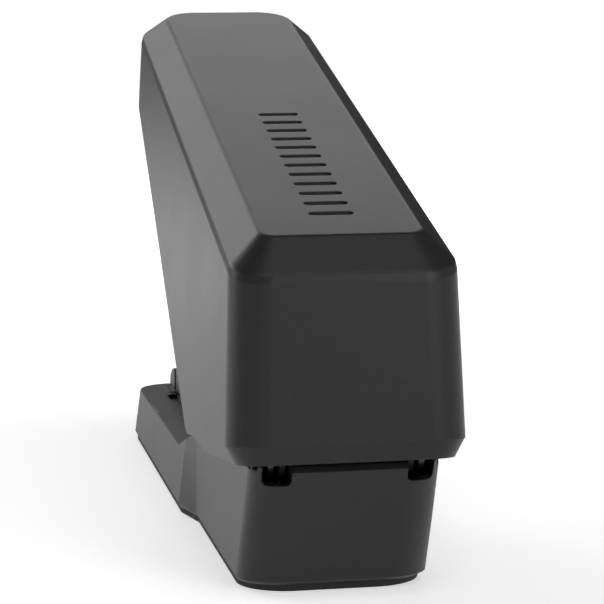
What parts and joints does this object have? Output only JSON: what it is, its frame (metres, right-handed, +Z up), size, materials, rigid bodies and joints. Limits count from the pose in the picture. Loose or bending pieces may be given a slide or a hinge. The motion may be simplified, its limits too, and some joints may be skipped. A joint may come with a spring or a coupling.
{
  "type": "electric stapler",
  "caption": "Long narrow electric desk stapler with its tapered dark cover raised over a low open staple magazine and a flat base.",
  "frame": {"origin": "middle of the overall footprint, on the table", "axes": "+Z up, -Y towards the nose where paper goes in, +Y towards the hinge, X across the width"},
  "size_m": [0.0488, 0.2247, 0.1198],
  "materials": {
    "shell_plastic": "fine spark texture, satin",
    "base_plastic": "fine spark texture, satin",
    "black_plastic": "matte",
    "dark_plastic": "matte",
    "sole_rubber": "matte",
    "bright_steel": "brushed",
    "dark_steel": "blackened",
    "spring_steel": "drawn wire",
    "staple_wire": "galvanised",
    "gear_nylon": "natural acetal",
    "gear_brass": "machined",
    "motor_steel": "zinc plated",
    "white_plastic": "gloss",
    "board_green": "solder mask",
    "parts_black": "gloss",
    "cell_sleeve": "printed film",
    "contact_nickel": "nickel plated",
    "lamp_clear": "clear tinted"
  },
  "bodies": {
    "base": {"base_shell": "base_plastic", "base_plate": "dark_plastic", "base_screws": "dark_steel", "rubber_sole": "sole_rubber", "paper_table": "black_plastic", "anvil_plate": "bright_steel", "anvil_screws": "dark_steel", "sensor_pin": "bright_steel", "sensor_bracket": "dark_plastic", "sensor_switch": "parts_black", "hinge_pin": "bright_steel", "hinge_washers": "bright_steel", "magazine_leaf": "spring_steel"},
    "cover": {"cover_shell": "shell_plastic", "cover_chassis": "dark_steel", "chassis_screws": "bright_steel", "battery_holder": "black_plastic", "battery_cells": "cell_sleeve", "battery_contacts": "contact_nickel", "circuit_board": "board_green", "board_posts": "dark_plastic", "board_components": "parts_black", "switch_body": "parts_black", "status_light": "lamp_clear", "motor_can": "motor_steel", "motor_endcap": "white_plastic", "gear_axles": "bright_steel", "gear_plate_inner": "motor_steel", "gear_plate_outer": "motor_steel", "driver_guide": "bright_steel", "closing_switch": "parts_black", "cover_spring": "spring_steel"},
    "battery_door": {"battery_door": "shell_plastic"},
    "power_slider": {"power_slider": "black_plastic"},
    "motor_rotor": {"motor_pinion": "gear_brass"},
    "gear_one": {"gear_one": "gear_nylon"},
    "gear_two": {"gear_two": "gear_nylon"},
    "gear_three": {"gear_three": "gear_nylon"},
    "driver": {"driver_carriage": "dark_steel", "driver_blade": "bright_steel", "blade_rivets": "bright_steel"},
    "closing_plunger": {"closing_plunger": "white_plastic"},
    "magazine": {"magazine_housing": "dark_plastic", "magazine_track": "dark_steel", "inner_rail": "bright_steel", "guide_rod": "bright_steel", "staple_strip": "staple_wire", "nose_cap": "dark_plastic", "front_plate": "bright_steel", "nose_screws": "dark_steel", "pusher_spring": "spring_steel"},
    "pusher": {"staple_pusher": "black_plastic"},
    "sensor_lever": {"sensor_lever": "black_plastic"}
  },
  "joints": [
    {"name": "cover_hinge", "type": "hinge", "parent": "base", "child": "cover", "pos_m": [0, 0.10165, 0.0295], "axis": [1, 0, 0], "range_deg": [0, 20], "stiffness_Nm_per_rad": 0.5, "springref_deg": -91.67, "deforming": ["cover_spring"]},
    {"name": "battery_door_hinge", "type": "hinge", "parent": "cover", "child": "battery_door", "pos_m": [-0.0223, 0.06605, 0.04885], "axis": [0, -0.9608, 0.2773], "range_deg": [0, 90]},
    {"name": "power_slide", "type": "slide", "parent": "cover", "child": "power_slider", "axis": [0, -0.9397, 0.342], "range_m": [0, 0.004]},
    {"name": "output_spin", "type": "hinge", "parent": "cover", "child": "gear_three", "pos_m": [0, -0.05744, 0.1023], "axis": [1, 0, 0], "range_deg": [0, 102]},
    {"name": "gear_two_spin", "type": "hinge", "parent": "cover", "child": "gear_two", "pos_m": [0, -0.04375, 0.09785], "axis": [1, 0, 0], "range_deg": [-308, 2]},
    {"name": "gear_one_spin", "type": "hinge", "parent": "cover", "child": "gear_one", "pos_m": [0, -0.03, 0.09359], "axis": [1, 0, 0], "range_deg": [-2, 920]},
    {"name": "motor_spin", "type": "hinge", "parent": "cover", "child": "motor_rotor", "pos_m": [0, -0.01678, 0.08963], "axis": [1, 0, 0], "range_deg": [-3306.8, 2]},
    {"name": "driver_slide", "type": "slide", "parent": "cover", "child": "driver", "axis": [0, -0.342, -0.9397], "range_m": [-0.0001, 0.0087]},
    {"name": "plunger_slide", "type": "slide", "parent": "cover", "child": "closing_plunger", "axis": [0, 0.342, 0.9397], "range_m": [0, 0.0012], "stiffness_N_per_m": 40, "springref_m": -0.001},
    {"name": "magazine_hinge", "type": "hinge", "parent": "base", "child": "magazine", "pos_m": [0, 0.10165, 0.0295], "axis": [1, 0, 0], "range_deg": [0, 0.38], "stiffness_Nm_per_rad": 2, "springref_deg": -5.73, "deforming": ["magazine_leaf"]},
    {"name": "pusher_slide", "type": "slide", "parent": "magazine", "child": "pusher", "axis": [0, 1, 0], "range_m": [0, 0.024], "stiffness_N_per_m": 20, "springref_m": -0.03, "deforming": ["pusher_spring"]},
    {"name": "sensor_hinge", "type": "hinge", "parent": "base", "child": "sensor_lever", "pos_m": [0, -0.06785, 0.0123], "axis": [-1, 0, 0], "range_deg": [0, 16], "stiffness_Nm_per_rad": 0.0002, "springref_deg": -34.38}
  ],
  "couplings": [
    {"joint": "gear_two_spin", "follows": "output_spin", "ratio": -3},
    {"joint": "gear_one_spin", "follows": "output_spin", "ratio": 9},
    {"joint": "motor_spin", "follows": "output_spin", "ratio": -32.4},
    {"joint": "driver_slide", "follows": "output_spin", "m_per_rad": 0.0048}
  ]
}
